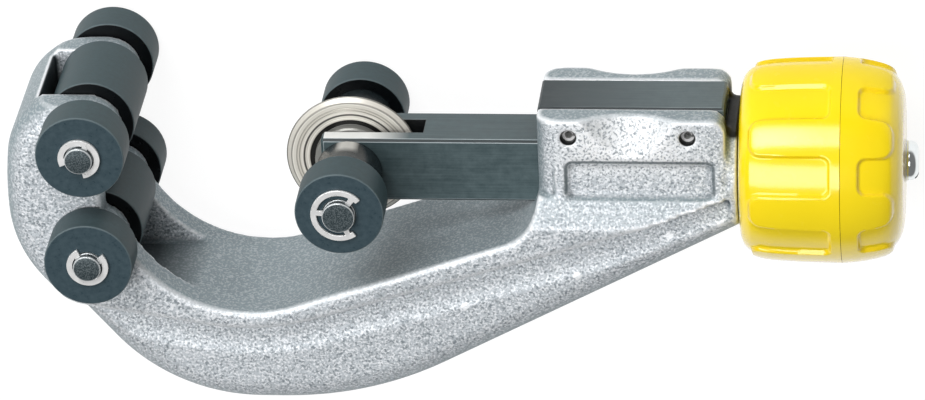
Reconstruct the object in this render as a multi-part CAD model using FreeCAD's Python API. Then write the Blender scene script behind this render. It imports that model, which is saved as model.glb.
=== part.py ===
import FreeCAD, Part
import math
import os

from FreeCAD import Vector

# A hand tool that cuts flexible and thin-walled tube. A cast C-shaped frame carries six
# rollers on a forked jaw. A square slider in the frame's channel carries the cutting wheel
# and two more rollers, and a knob feeds it along a left-hand screw.
#
# Sizes are in millimetres. X runs along the feed axis towards the knob, Y towards the open
# side of the frame and Z along the roller axles. The tool lies on its side. The datum is the
# point where the feed axis crosses the wheel axle. X and Y are counted from it, and the
# frame's middle plane is raised by half an axle, so that the lower axle ends stand at Z zero.

# Clearances and shared values
running_gap = 0.05
seat_gap = 0.02
slide_gap = 0.1
side_gap = 0.3
overrun = 5.0
clip_gap = 0.1

# Rollers, axles and their retaining clips
roller_radius = 9.5
roller_length = 8.8
roller_chamfer = 0.35
middle_roller_radius = 9.4
jaw_axle_radius = 3.0
wheel_axle_radius = 3.5
axle_end_length = 1.0
axle_chamfer = 0.5
jaw_clip_radius = 4.5
wheel_clip_radius = 6.0
clip_thickness = 0.7
clip_band = 1.25
clip_prong_half_width = 0.6
clip_groove_depth = 0.9
jaw_clip_half_angle = 38.0
wheel_clip_half_angle = 46.0
clip_prong_angle = 14.0
upper_clip_angle = 241.0
lower_clip_angle = 79.0
wheel_clip_angle = -8.0

# Forked jaw: two axles, one each side of the feed axis
jaw_setback = 54.75
jaw_rise = 12.95
ear_boss_radius = 7.0
ear_waist = 2.15
fork_half_gap = 10.5
fork_back_reach = 10.75
fork_floor_depth = 27.0
fork_corner_radius = 16.0
fork_run_out = 34.0

# Frame casting
frame_half_width = 17.6
jaw_back_reach = 18.75
frame_depth = 54.9
belly_half_width = 13.0
belly_rim_radius = 6.0
jaw_rim_radius = 5.0
edge_radius = 1.0
throat_back_x = 21.8
throat_back_y = 0.6
ramp_angle = 18.5
ramp_corner_radius = 12.0
web_recess_depth = 1.2
web_recess_height = 8.5

# Outer outline: the back is walked both ways from its outermost point, and straights join
# the chin to the belly and the tail's arc to the foot of the collar
back_middle_y = -3.6
back_radius = 85.2
back_upper_angle = 8.0
back_lower_angle = 1.5
shoulder_radius = 15.5
shoulder_angle = 46.2
chin_radius = 28.1
belly_radius = 40.3
belly_flat = 5.4
heel_x = -16.5
tail_radius = 75.0
tail_drop = 11.3
# Lower edge of the wide flange: a straight from the tail, an arc and a rise to the jaw
flange_tail_drop = 2.1
flange_angle = 17.6
flange_arc_start = -8.0
flange_radius = 50.0
flange_rise_angle = 10.0

# Body that guides the slider
body_front = 41.0
body_end = 81.3
channel_end = 79.5
keeper_end = 80.7
body_top = 15.5
cheek_top_half_width = 12.9
cheek_foot_half_width = 13.8
cheek_foot_y = -2.3
slope_foot_y = -8.0
cheek_corner_radius = 4.0
waist_radius = 18.5
waist_shoulder_radius = 9.5
waist_depth = 3.2
waist_tilt = 23.0
end_wall_top = 11.0
end_corner_radius = 3.5
collar_radius = 14.0
collar_end = 83.6
collar_groove_width = 0.8
collar_groove_depth = 2.4
collar_foot = 2.0

# Recessed panel on the side of the body, left bare
panel_front = 47.2
panel_length = 31.5
panel_height = 8.6
panel_middle_y = 1.5
panel_depth = 0.8
panel_corner_radius = 1.6

# Keeper bar that closes the channel, and its two spring pins
keeper_height = 8.0
keeper_chamfer = 0.5
pin_radius = 1.5
pin_bore_radius = 0.85
pin_slit_half_width = 0.3
pin_recess = 1.4
front_pin_x = 47.95
rear_pin_x = 73.25

# Slider bar
slider_half_height = 7.4
slider_half_width = 6.6
slider_nose = 6.0
slider_tail = 71.4
slider_chamfer = 0.6
wheel_slot_half_width = 3.0
wheel_slot_end = 15.8
slider_bore_start = 21.0

# Cutting wheel: hub, turned steps and bevelled edge
wheel_radius = 14.4
wheel_hub_radius = 10.0
wheel_hub_half_width = 2.75
wheel_step_shares = [(0.735, 0.76), (0.81, 0.68), (0.82, 0.44), (0.90, 0.36), (0.91, 0.20)]
spacer_radius = 7.1

# Feed screw, washer and knob drive
screw_radius = 4.0
screw_tip = 27.0
screw_tip_chamfer = 1.0
screw_flange_radius = 6.3
screw_flange_start = 76.0
screw_flange_end = 78.0
journal_radius = 4.5
journal_end = 85.6
drive_half_width = 3.1
drive_end = 112.0
washer_radius = 6.3

# Knob: grip and cap, both hollow mouldings with a hub
knob_start = 83.8
knob_split = 105.75
knob_end = 118.8
knob_split_gap = 0.1
knob_radius = 22.1
knob_wall = 3.0
knob_face_wall = 2.2
grip_hub_radius = 7.5
knob_hub_gap = 0.3
grip_shares = [(0.0, 0.640), (0.010, 0.790), (0.045, 0.875), (0.137, 0.940), (0.340, 0.976), (0.620, 0.991)]
cap_shares = [(0.250, 0.985), (0.560, 0.950), (0.770, 0.905), (0.905, 0.820), (0.985, 0.700), (1.0, 0.640)]
recess_count = 8
recess_depth = 0.9
recess_first_angle = 17.5
grip_recess_half_width = 4.3
grip_recess_end = 103.4
grip_finger_start = 86.4
cap_recess_half_width = 3.9
cap_recess_start = 109.5
cap_finger_end = 116.8
recess_corner_radius = 1.7
finger_corner_radius = 2.4

# Screw and washer on the end of the knob
end_screw_head_radius = 4.3
end_screw_head_height = 2.6
end_screw_shank_radius = 2.0
end_screw_length = 14.0
end_screw_edge_radius = 1.8
end_screw_slot_half_width = 0.5
end_screw_slot_depth = 0.8
end_washer_radius = 4.6
end_washer_thickness = 0.8
cap_seat_depth = 0.5

# Places worked out from the sizes above
roller_start = frame_half_width + side_gap
roller_end = roller_start + roller_length
clip_start = roller_end + clip_gap
clip_end = clip_start + clip_thickness
axle_half_length = clip_end + axle_end_length
mid_height = axle_half_length
frame_back = jaw_setback + jaw_back_reach
ear_top = jaw_rise + ear_boss_radius
channel_half_width = slider_half_width + slide_gap
channel_floor = slider_half_height + slide_gap
pin_y = channel_floor + keeper_height / 2
recess_step = 360.0 / recess_count


def solid_of(shape):
    """Return the one solid that an operation leaves, with shared faces merged."""
    return shape.removeSplitter().Solids[0]


def block(x_low, x_high, y_low, y_high, half_width):
    """Box that lies evenly about the middle plane."""
    corner = Vector(x_low, y_low, -half_width)
    return Part.makeBox(x_high - x_low, y_high - y_low, 2 * half_width, corner)


def post(radius, x, y, z_low, z_high):
    """Round bar along Z."""
    return Part.makeCylinder(radius, z_high - z_low, Vector(x, y, z_low), Vector(0, 0, 1))


def shaft(radius, x_low, x_high):
    """Round bar along the feed axis."""
    return Part.makeCylinder(radius, x_high - x_low, Vector(x_low, 0, 0), Vector(1, 0, 0))


def line(start, end):
    return Part.LineSegment(Vector(*start, 0), Vector(*end, 0)).toShape()


def arc(start, middle, end):
    return Part.Arc(Vector(*start, 0), Vector(*middle, 0), Vector(*end, 0)).toShape()


def polar(centre, radius, degrees):
    angle = math.radians(degrees)
    return (centre[0] + radius * math.cos(angle), centre[1] + radius * math.sin(angle))


def plate(edges, half_width):
    """Extrude a closed outline evenly to both sides of the middle plane."""
    wire = Part.Wire(Part.__sortEdges__(edges))
    face = Part.Face(wire)
    face.translate(Vector(0, 0, -half_width))
    return face.extrude(Vector(0, 0, 2 * half_width))


def polygon(points):
    return [line(a, b) for a, b in zip(points, points[1:] + points[:1])]


def turned_about_feed(edges_or_points):
    """Turn a closed half section, given as (x, radius) points, about the feed axis."""
    wire = Part.Wire(Part.__sortEdges__(polygon(edges_or_points)))
    return Part.Face(wire).revolve(Vector(0, 0, 0), Vector(1, 0, 0), 360)


def turned_about_axle(points, x, y):
    """Turn a closed half section, given as (radius, z) points, about an axle at (x, y)."""
    corners = [Vector(x + radius, y, z) for radius, z in points]
    face = Part.Face(Part.makePolygon(corners + corners[:1]))
    return face.revolve(Vector(x, y, 0), Vector(0, 0, 1), 360)


def mirrored(shape):
    """Copy to the other side of the middle plane."""
    return shape.mirror(Vector(0, 0, 0), Vector(0, 0, 1))


def rounded(shape, radius, wanted):
    """Round the edges whose middle point passes the test, as far as the form allows."""
    edges = [edge for edge in shape.Edges if wanted(edge)]
    return shape.makeFillet(radius, edges)


def middle_of(edge):
    return edge.valueAt((edge.FirstParameter + edge.LastParameter) / 2)


def step_along(spot, heading, length):
    angle = math.radians(heading)
    return (spot[0] + length * math.cos(angle), spot[1] + length * math.sin(angle))


def turn_along(spot, heading, radius, turn):
    """Arc edge that starts at a spot with a heading and turns left, or right if negative."""
    side = math.copysign(90, turn)
    centre = step_along(spot, heading + side, radius)
    half_way = step_along(centre, heading - side + turn / 2, radius)
    end = step_along(centre, heading - side + turn, radius)
    return arc(spot, half_way, end), end, heading + turn


def shared_tangent(start, start_radius, end, end_radius):
    """Heading and length of the straight between two circles that it leaves on its left."""
    across = (end[0] - start[0], end[1] - start[1])
    distance = math.hypot(*across)
    lean = math.asin((end_radius - start_radius) / distance)
    heading = math.degrees(math.atan2(across[1], across[0]) - lean)
    return heading, distance * math.cos(lean)


def outer_edges():
    """Edges of the outer outline, and the spots and heading at its ends."""
    back = (-frame_back, back_middle_y)
    edge, spot, heading = turn_along(back, 90, back_radius, -back_upper_angle)
    back_edges = [edge]
    edge, spot, heading = turn_along(spot, heading, shoulder_radius, -shoulder_angle)
    back_edges.append(edge)
    top = step_along(spot, heading, 2 * overrun)
    top_heading = heading
    back_edges.append(line(spot, top))
    edge, chin_end, heading = turn_along(back, -90, back_radius, back_lower_angle)
    back_edges.append(edge)

    chin_centre = step_along(chin_end, heading + 90, chin_radius)
    belly_centre = (heel_x - belly_flat, belly_radius - frame_depth)
    chin_heading, run = shared_tangent(chin_centre, chin_radius, belly_centre, belly_radius)
    edge, spot, heading = turn_along(chin_end, heading, chin_radius, chin_heading - heading)
    edges = [edge]
    belly_start = step_along(spot, heading, run)
    edges.append(line(spot, belly_start))
    edge, spot, _ = turn_along(belly_start, heading, belly_radius, -heading)
    edges.append(edge)
    heel = (heel_x, -frame_depth)
    edges.append(line(spot, heel))

    tail = (collar_end, -tail_drop)
    tail_heading, _ = shared_tangent((heel_x, tail_radius - frame_depth), tail_radius, tail, 0)
    edge, spot, _ = turn_along(heel, 0, tail_radius, tail_heading)
    edges.append(edge)
    edges.append(line(spot, tail))
    return edges, back_edges, tail, chin_end, top, top_heading


def throat_points():
    """Corner points of the open side: ramp, throat and the two ear bosses."""
    centre = (-throat_back_x, -throat_back_y)
    lower_boss = (-jaw_setback + ear_boss_radius, -jaw_rise)
    radius = math.hypot(lower_boss[0] - centre[0], lower_boss[1] - centre[1])
    slope = math.radians(ramp_angle)
    ramp_foot = polar(centre, radius, ramp_angle - 90)
    corner_y = ramp_foot[1] + (body_front - ramp_foot[0]) * math.tan(slope)
    setback = ramp_corner_radius * math.tan(math.radians((90 - ramp_angle) / 2))
    ramp_end = (body_front - setback * math.cos(slope), corner_y - setback * math.sin(slope))
    corner_centre = (body_front - ramp_corner_radius, corner_y + setback)
    corner_middle = polar(corner_centre, ramp_corner_radius, (ramp_angle - 90) / 2)
    corner_end = (body_front, corner_y + setback)
    start_angle = math.degrees(math.atan2(lower_boss[1] - centre[1], lower_boss[0] - centre[0]))
    throat_middle = polar(centre, radius, (start_angle + ramp_angle - 90) / 2)
    return lower_boss, throat_middle, ramp_foot, ramp_end, corner_middle, corner_end


def open_side():
    """Everything on the open side of the frame, from the top of the jaw to the body."""
    lower_boss, throat_middle, ramp_foot, ramp_end, corner_middle, corner_end = throat_points()
    waist_x = -jaw_setback + ear_waist
    boss_drop = math.sqrt(ear_boss_radius ** 2 - ear_waist ** 2)
    upper_waist = (waist_x, jaw_rise - boss_drop)
    lower_waist = (waist_x, -jaw_rise + boss_drop)
    lower_mid = polar((-jaw_setback, -jaw_rise), ear_boss_radius, 45)
    upper_mid = polar((-jaw_setback, jaw_rise), ear_boss_radius, 0)
    high = ear_top + overrun
    far_left = -frame_back - overrun
    far_right = collar_end + overrun
    return plate([
        line((body_front, body_top), corner_end),
        arc(corner_end, corner_middle, ramp_end),
        line(ramp_end, ramp_foot),
        arc(ramp_foot, throat_middle, lower_boss),
        arc(lower_boss, lower_mid, lower_waist),
        line(lower_waist, upper_waist),
        arc(upper_waist, upper_mid, (-jaw_setback, ear_top)),
        line((-jaw_setback, ear_top), (far_left, ear_top)),
        line((far_left, ear_top), (far_left, high)),
        line((far_left, high), (far_right, high)),
        line((far_right, high), (far_right, body_top)),
        line((far_right, body_top), (body_front, body_top)),
    ], frame_half_width + overrun)


def flange_path():
    """Lower edge of the wide flange as its spots from the tail to past the jaw, and its arc."""
    tail = (collar_end, -flange_tail_drop)
    run = (collar_end - flange_arc_start) / math.cos(math.radians(flange_angle))
    arc_start = step_along(tail, 180 + flange_angle, run)
    turn = flange_angle + flange_rise_angle
    edge, arc_end, heading = turn_along(arc_start, 180 + flange_angle, flange_radius, -turn)
    far = step_along(arc_end, heading, frame_back)
    return tail, arc_start, arc_end, far, edge


def on_side_face(edge, half_width):
    """True for an edge that lies in either flat side of a plate."""
    spots = [edge.valueAt(edge.FirstParameter), middle_of(edge), edge.valueAt(edge.LastParameter)]
    return all(abs(abs(spot.z) - half_width) < seat_gap for spot in spots)


def below_flange():
    """Everything under the lower edge of the wide flange."""
    tail, arc_start, arc_end, far, edge = flange_path()
    low = -frame_depth - overrun
    right = tail[0] + overrun
    return plate([
        line(far, arc_end),
        edge,
        line(arc_start, tail),
        line(tail, (right, tail[1])),
        line((right, tail[1]), (right, low)),
        line((right, low), (far[0], low)),
        line((far[0], low), far),
    ], frame_half_width + overrun)


def make_wide_part():
    """Jaw, flange and lower body at the full width of the casting."""
    edges, back_edges, tail, _, top, heading = outer_edges()
    inward = step_along(top, heading - 90, edge_radius)
    wide = plate(edges + back_edges + [
        line(top, inward),
        line(inward, (collar_end, inward[1])),
        line((collar_end, inward[1]), tail),
    ], frame_half_width)

    def on_back(edge):
        at = middle_of(edge)
        outside = at.x < -frame_back + jaw_rim_radius or at.y < -frame_depth + jaw_rim_radius
        return on_side_face(edge, frame_half_width) and outside

    wide = rounded(wide, jaw_rim_radius, on_back)
    wide = wide.cut([open_side(), below_flange()])
    low = -frame_depth + jaw_rim_radius

    def on_long_edges(edge):
        at = middle_of(edge)
        below = at.y < -flange_tail_drop - edge_radius
        along = below or -jaw_setback < at.x < body_front - edge_radius
        return on_side_face(edge, frame_half_width) and along and at.y > low

    wide = rounded(wide, edge_radius, on_long_edges)
    side = body_side_cut()
    corner = cheek_corner_cut()
    return wide.cut([side, mirrored(side), corner, mirrored(corner)])


def make_belly():
    """Narrower belly under the flange, with its rounded rim."""
    edges, _, tail, chin_end, _, _ = outer_edges()
    flange_tail, arc_start, arc_end, _, _ = flange_path()
    inner = [(spot[0], spot[1] + edge_radius) for spot in (flange_tail, arc_start, arc_end)]
    corner = (chin_end[0] + 2 * belly_rim_radius, chin_end[1])
    belly = plate(edges + [
        line(tail, inner[0]),
        line(inner[0], inner[1]),
        line(inner[1], inner[2]),
        line(inner[2], corner),
        line(corner, chin_end),
    ], belly_half_width)

    def on_rim(edge):
        at = middle_of(edge)
        return on_side_face(edge, belly_half_width) and at.y < -frame_depth + belly_rim_radius

    return rounded(belly, belly_rim_radius, on_rim)


def web_hollows():
    """Shallow hollow along the web on one side: its section follows the flange's lower edge."""
    tail, arc_start, arc_end, far, _ = flange_path()
    floor_z = belly_half_width - web_recess_depth
    high = frame_half_width + overrun
    half = web_recess_height / 2
    sweep_radius = (web_recess_height ** 2 + web_recess_depth ** 2) / (2 * web_recess_depth)
    half_rise = sweep_radius - math.sqrt(sweep_radius ** 2 - half ** 2)

    def section(spot, heading):
        def at(depth, z):
            x, y = step_along(spot, heading + 90, depth)
            return Vector(x, y, z)
        edges = [
            Part.LineSegment(at(0, high), at(0, floor_z)).toShape(),
            Part.Arc(
                at(0, floor_z), at(half, floor_z + half_rise), at(2 * half, belly_half_width)).toShape(),
            Part.LineSegment(at(2 * half, belly_half_width), at(2 * half, high)).toShape(),
            Part.LineSegment(at(2 * half, high), at(0, high)).toShape(),
        ]
        return Part.Face(Part.Wire(Part.__sortEdges__(edges)))

    first = 180 + flange_angle
    last = 180 - flange_rise_angle
    right = section(tail, first).extrude(Vector(arc_start[0] - tail[0], arc_start[1] - tail[1], 0))
    left = section(arc_end, last).extrude(Vector(far[0] - arc_end[0], far[1] - arc_end[1], 0))
    centre = step_along(arc_start, first - 90, flange_radius)
    turn = -(flange_angle + flange_rise_angle)
    middle = section(arc_start, first).revolve(Vector(centre[0], centre[1], 0), Vector(0, 0, 1), turn)
    return [right, middle, left]


def body_side_cut():
    """Cut that slopes one side of the body inwards above the flange."""
    far = frame_half_width + overrun
    top = body_top + overrun
    lean = (cheek_foot_half_width - cheek_top_half_width) / (body_top - cheek_foot_y)
    corners = [
        Vector(0, slope_foot_y, frame_half_width),
        Vector(0, cheek_foot_y, cheek_foot_half_width),
        Vector(0, top, cheek_top_half_width - lean * overrun),
        Vector(0, top, far),
        Vector(0, slope_foot_y, far),
    ]
    face = Part.Face(Part.makePolygon(corners + corners[:1]))
    start = body_front - ramp_corner_radius
    face.translate(Vector(start, 0, 0))
    return face.extrude(Vector(collar_end - start + overrun, 0, 0))


def cheek_corner_cut():
    """Rounds the upright front corner of one side of the body."""
    radius = cheek_corner_radius
    height = body_top + overrun - cheek_foot_y
    low = Vector(body_front - overrun, cheek_foot_y, cheek_top_half_width - radius)
    tool = Part.makeBox(overrun + radius, height, overrun, low)
    centre = Vector(body_front + radius, cheek_foot_y, cheek_top_half_width - radius)
    return tool.cut(Part.makeCylinder(radius, height, centre, Vector(0, 1, 0)))


def waist_cut():
    """Tilted hollow with rounded shoulders that narrows one side of the body between its pins."""
    depth = waist_depth + seat_gap
    reach = waist_radius + waist_shoulder_radius
    turn = math.degrees(math.acos(1 - depth / reach))
    half = reach * math.sin(math.radians(turn))
    centre = (0, waist_radius)
    meets = [polar(centre, waist_radius, -90 + side * turn) for side in (1, -1)]
    shoulders = [(side * half, depth - waist_shoulder_radius) for side in (1, -1)]
    middles = []
    for spot, side in zip(shoulders, (1, -1)):
        middles.append(polar(spot, waist_shoulder_radius, 90 + side * turn / 2))
    high = depth + overrun
    tool = plate([
        arc(meets[1], (0, 0), meets[0]),
        arc(meets[0], middles[0], (half, depth)),
        line((half, depth), (half, high)),
        line((half, high), (-half, high)),
        line((-half, high), (-half, depth)),
        arc((-half, depth), middles[1], meets[1]),
    ], 2 * depth / math.sin(math.radians(waist_tilt)))
    tool.rotate(Vector(0, 0, 0), Vector(1, 0, 0), 90)
    tool = tool.mirror(Vector(0, 0, 0), Vector(0, 1, 0))
    tool.rotate(Vector(0, 0, 0), Vector(1, 0, 0), -waist_tilt)
    tool.translate(Vector((front_pin_x + rear_pin_x) / 2, body_top, cheek_top_half_width - waist_depth))
    return tool


def panel_cut():
    """Shallow rounded recess, parallel to the side of the body."""
    half = panel_length / 2
    tall = panel_height / 2
    lean = (cheek_foot_half_width - cheek_top_half_width) / (body_top - cheek_foot_y)
    tool = Part.makeBox(panel_length, panel_height, overrun, Vector(-half, -tall, -panel_depth))
    middle_z = overrun / 2 - panel_depth
    tool = rounded(tool, panel_corner_radius, lambda edge: abs(middle_of(edge).z - middle_z) < overrun / 4)
    tool.rotate(Vector(0, 0, 0), Vector(1, 0, 0), -math.degrees(math.atan(lean)))
    side_z = cheek_foot_half_width - lean * (panel_middle_y - cheek_foot_y)
    tool.translate(Vector(panel_front + half, panel_middle_y, side_z))
    return tool


def fork_slot():
    """Slot between the two ears, with its deep rounded corner."""
    back = -jaw_setback - fork_back_reach
    floor = -fork_floor_depth
    top = ear_top + overrun
    corner = (back + fork_corner_radius, floor + fork_corner_radius)
    end = -jaw_setback + fork_run_out
    return plate([
        line((back, top), (back, corner[1])),
        arc((back, corner[1]), polar(corner, fork_corner_radius, 225), (corner[0], floor)),
        line((corner[0], floor), (end, floor)),
        line((end, floor), (end, top)),
        line((end, top), (back, top)),
    ], fork_half_gap)


def make_frame():
    belly = make_belly()
    hollows = web_hollows()
    belly = belly.cut(hollows + [mirrored(hollow) for hollow in hollows])
    frame = make_wide_part().fuse(belly)
    frame = frame.cut(fork_slot())

    front = body_front - ramp_corner_radius
    far = collar_end + overrun
    top = body_top + overrun
    channel = block(front, channel_end, -channel_floor, top, channel_half_width)
    keeper_slot = block(front, keeper_end + running_gap, channel_floor, top, channel_half_width)
    wall_top = block(keeper_end, far, end_wall_top, top, channel_half_width)
    waist = waist_cut()
    frame = frame.cut([channel, keeper_slot, wall_top, waist, mirrored(waist)])

    # Round collar that the knob turns against, behind a deep groove
    corner = block(body_end - end_corner_radius, body_end, body_top - end_corner_radius, body_top, top)
    post_centre = (body_end - end_corner_radius, body_top - end_corner_radius)
    corner = corner.cut(post(end_corner_radius, *post_centre, -2 * top, 2 * top))
    above_collar = block(body_end, far, -collar_foot, top, far)
    frame = frame.cut([corner, above_collar])
    groove_end = body_end + collar_groove_width
    neck = shaft(collar_radius - collar_groove_depth, body_end, groove_end)
    collar = shaft(collar_radius, groove_end, collar_end)
    low_part = block(body_end, collar_end, -frame_depth, end_wall_top, far)
    frame = frame.fuse([neck.common(low_part), collar.common(low_part)])

    holes = [shaft(journal_radius + running_gap, channel_end - overrun, far)]
    reach = frame_half_width + overrun
    for y in (jaw_rise, -jaw_rise):
        holes.append(post(jaw_axle_radius + seat_gap, -jaw_setback, y, -reach, reach))
    for x in (front_pin_x, rear_pin_x):
        holes.append(post(pin_radius + seat_gap, x, pin_y, -reach, reach))
    panel = panel_cut()
    frame = frame.cut(holes + [panel, mirrored(panel)])
    return solid_of(frame)


def make_keeper_bar():
    half = channel_half_width - seat_gap
    bar = block(body_front, keeper_end, channel_floor, channel_floor + keeper_height, half)
    top_y = channel_floor + keeper_height
    top_edges = [edge for edge in bar.Edges if middle_of(edge).y > top_y - seat_gap]
    bar = bar.makeChamfer(keeper_chamfer, top_edges)
    reach = half + overrun
    holes = []
    for x in (front_pin_x, rear_pin_x):
        holes.append(post(pin_radius + seat_gap, x, pin_y, -reach, reach))
    return solid_of(bar.cut(holes))


def make_keeper_pins():
    """Two slit spring pins that hold the keeper bar."""
    half = cheek_top_half_width - pin_recess
    reach = half + overrun
    slit = pin_slit_half_width
    pins = []
    for x in (front_pin_x, rear_pin_x):
        bore = post(pin_bore_radius, x, pin_y, -reach, reach)
        gap = block(x, x + pin_radius + overrun, pin_y - slit, pin_y + slit, reach)
        pins.append(solid_of(post(pin_radius, x, pin_y, -half, half).cut([bore, gap])))
    return Part.makeCompound(pins)


def make_roller(x, y, z_low, z_high, radius, bore):
    bevel = roller_chamfer
    return turned_about_axle([
        (bore, z_low), (radius - bevel, z_low), (radius, z_low + bevel),
        (radius, z_high - bevel), (radius - bevel, z_high), (bore, z_high),
    ], x, y).Solids[0]


def make_axle(x, y, radius):
    """Plain axle with a groove for a clip near each end."""
    end = axle_half_length
    bevel = axle_chamfer
    core = radius - clip_groove_depth
    return turned_about_axle([
        (0, -end), (radius - bevel, -end), (radius, -end + bevel), (radius, -clip_end), (core, -clip_end),
        (core, -clip_start), (radius, -clip_start), (radius, clip_start), (core, clip_start),
        (core, clip_end), (radius, clip_end), (radius, end - bevel), (radius - bevel, end), (0, end),
    ], x, y).Solids[0]


def make_clips(x, y, axle_radius, clip_radius, half_angle, turn):
    """A pair of open retaining rings, whose three prongs sit in the axle's grooves."""
    core = axle_radius - clip_groove_depth + seat_gap
    low = clip_start + seat_gap
    high = clip_end - seat_gap
    half = clip_prong_half_width
    ring = post(clip_radius, 0, 0, low, high).cut(post(clip_radius - clip_band, 0, 0, low, high))
    far = clip_radius + overrun
    corners = [Vector(0, 0, low)]
    for side in (-1, 1):
        corners.append(Vector(*polar((0, 0), far, side * half_angle), low))
    wedge = Part.Face(Part.makePolygon(corners + corners[:1])).extrude(Vector(0, 0, high - low))
    ring = ring.cut(wedge)
    for angle in (half_angle + clip_prong_angle, 180, -half_angle - clip_prong_angle):
        prong = Part.makeBox(clip_radius - clip_band / 2, 2 * half, high - low, Vector(0, -half, low))
        prong.rotate(Vector(0, 0, 0), Vector(0, 0, 1), angle)
        ring = ring.fuse(prong)
    ring = solid_of(ring.cut(post(core, 0, 0, low, high)))
    ring.rotate(Vector(0, 0, 0), Vector(0, 0, 1), turn)
    ring.translate(Vector(x, y, 0))
    return Part.makeCompound([ring, mirrored(ring)])


def make_slider():
    height = slider_half_height
    half = slider_half_width
    bar = block(-slider_nose, slider_tail, -height, height, half)
    bar = bar.makeChamfer(slider_chamfer, bar.Edges)
    reach = height + overrun
    slot = block(-slider_nose - overrun, wheel_slot_end, -reach, reach, wheel_slot_half_width)
    axle_hole = post(wheel_axle_radius + seat_gap, 0, 0, -half - overrun, half + overrun)
    screw_hole = shaft(screw_radius + running_gap, slider_bore_start, slider_tail + overrun)
    return solid_of(bar.cut([slot, axle_hole, screw_hole]))


def make_wheel():
    """Cutting wheel: flat hub, turned steps and a sharp bevelled edge."""
    bore = wheel_axle_radius + running_gap
    hub = wheel_hub_half_width
    upper = [(bore, hub), (wheel_hub_radius, hub)]
    for radius_share, width_share in wheel_step_shares:
        upper.append((radius_share * wheel_radius, width_share * hub))
    lower = [(radius, -z) for radius, z in reversed(upper)]
    return turned_about_axle(upper + [(wheel_radius, 0)] + lower, 0, 0).Solids[0]


def make_spacer(sign):
    bevel = roller_chamfer
    low = slider_half_width + seat_gap
    high = roller_start - running_gap
    bore = wheel_axle_radius + seat_gap
    spacer = turned_about_axle([
        (bore, low), (spacer_radius, low), (spacer_radius, high - bevel),
        (spacer_radius - bevel, high), (bore, high),
    ], 0, 0).Solids[0]
    return spacer if sign > 0 else mirrored(spacer)


def make_feed_screw():
    """Screw with its thrust flange, journal and square drive for the knob."""
    core = turned_about_feed([
        (screw_tip, 0), (screw_tip, screw_radius - screw_tip_chamfer),
        (screw_tip + screw_tip_chamfer, screw_radius), (screw_flange_start, screw_radius),
        (screw_flange_start, screw_flange_radius), (screw_flange_end, screw_flange_radius),
        (screw_flange_end, journal_radius), (journal_end, journal_radius), (journal_end, 0),
    ])
    drive = block(journal_end, drive_end, -drive_half_width, drive_half_width, drive_half_width)
    tapped_start = cap_seat_x() - end_screw_length - overrun
    tapped = shaft(end_screw_shank_radius + seat_gap, tapped_start, drive_end + overrun)
    return solid_of(core.fuse(drive).cut(tapped))


def make_thrust_washer():
    start = screw_flange_end + running_gap
    ring = shaft(washer_radius, start, channel_end - running_gap)
    return ring.cut(shaft(journal_radius + running_gap, start, channel_end))


def cap_seat_x():
    """Face of the cap's sunk seat, where the end washer bears."""
    return knob_end - cap_seat_depth


def knob_barrel(start, length, shares, inset):
    """Points (x, radius) of the barrelled outside, moved in by an inset."""
    points = []
    for x_share, radius_share in shares:
        points.append((start + x_share * length, radius_share * knob_radius - inset))
    return points


def recess_cutters(closed_x, open_x, finger_x, half_width):
    """Radial cutters for the grip recesses: rounded at the closed end, flared at the open end."""
    sign = 1 if closed_x > open_x else -1
    corner = recess_corner_radius
    flare = finger_corner_radius
    inset = corner * (1 - math.cos(math.radians(45)))
    flare_inset = flare * (1 - math.cos(math.radians(45)))
    wide = half_width + flare
    edges = []
    for side in (1, -1):
        edges += [
            line((closed_x, 0), (closed_x, side * (half_width - corner))),
            arc((closed_x, side * (half_width - corner)),
                (closed_x - sign * inset, side * (half_width - inset)),
                (closed_x - sign * corner, side * half_width)),
            line((closed_x - sign * corner, side * half_width),
                 (finger_x + sign * flare, side * half_width)),
            arc((finger_x + sign * flare, side * half_width),
                (finger_x + sign * flare_inset, side * (half_width + flare_inset)),
                (finger_x, side * wide)),
            line((finger_x, side * wide), (open_x, side * wide)),
            line((open_x, side * wide), (open_x, 0)),
        ]
    face = Part.Face(Part.Wire(Part.__sortEdges__(edges)))
    face.translate(Vector(0, 0, knob_radius / 2))
    cutter = face.extrude(Vector(0, 0, knob_radius))
    cutters = []
    for index in range(recess_count):
        copy = cutter.copy()
        copy.rotate(Vector(0, 0, 0), Vector(1, 0, 0), -(recess_first_angle + index * recess_step))
        cutters.append(copy)
    return cutters


def make_knob_grip():
    length = knob_split - knob_start
    split = knob_split - knob_split_gap
    barrel = knob_barrel(knob_start, length, grip_shares, 0)
    outer = turned_about_feed([(knob_start, 0)] + barrel + [(split, knob_radius), (split, 0)])
    sunk = knob_barrel(knob_start, length, grip_shares, recess_depth)
    core = turned_about_feed([(knob_start, 0)] + sunk + [(split, knob_radius - recess_depth), (split, 0)])
    low_ring = shaft(knob_radius + overrun, knob_start - overrun, grip_finger_start)
    cutters = recess_cutters(grip_recess_end, knob_start - overrun, grip_finger_start, grip_recess_half_width)
    grip = core.fuse(outer.cut(cutters + [low_ring]))
    hollow_start = knob_start + knob_face_wall
    inside = knob_radius - knob_wall
    shoulder = inside * grip_shares[2][1]
    hollow = turned_about_feed([
        (hollow_start, grip_hub_radius), (hollow_start, shoulder),
        (grip_finger_start + knob_face_wall, inside * grip_shares[3][1]),
        (split + overrun, inside), (split + overrun, grip_hub_radius),
    ])
    bore = shaft(journal_radius + seat_gap, knob_start - overrun, journal_end)
    drive = block(journal_end - overrun, split + overrun, -drive_half_width - seat_gap,
                  drive_half_width + seat_gap, drive_half_width + seat_gap)
    return solid_of(grip.cut([hollow, bore, drive]))


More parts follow.
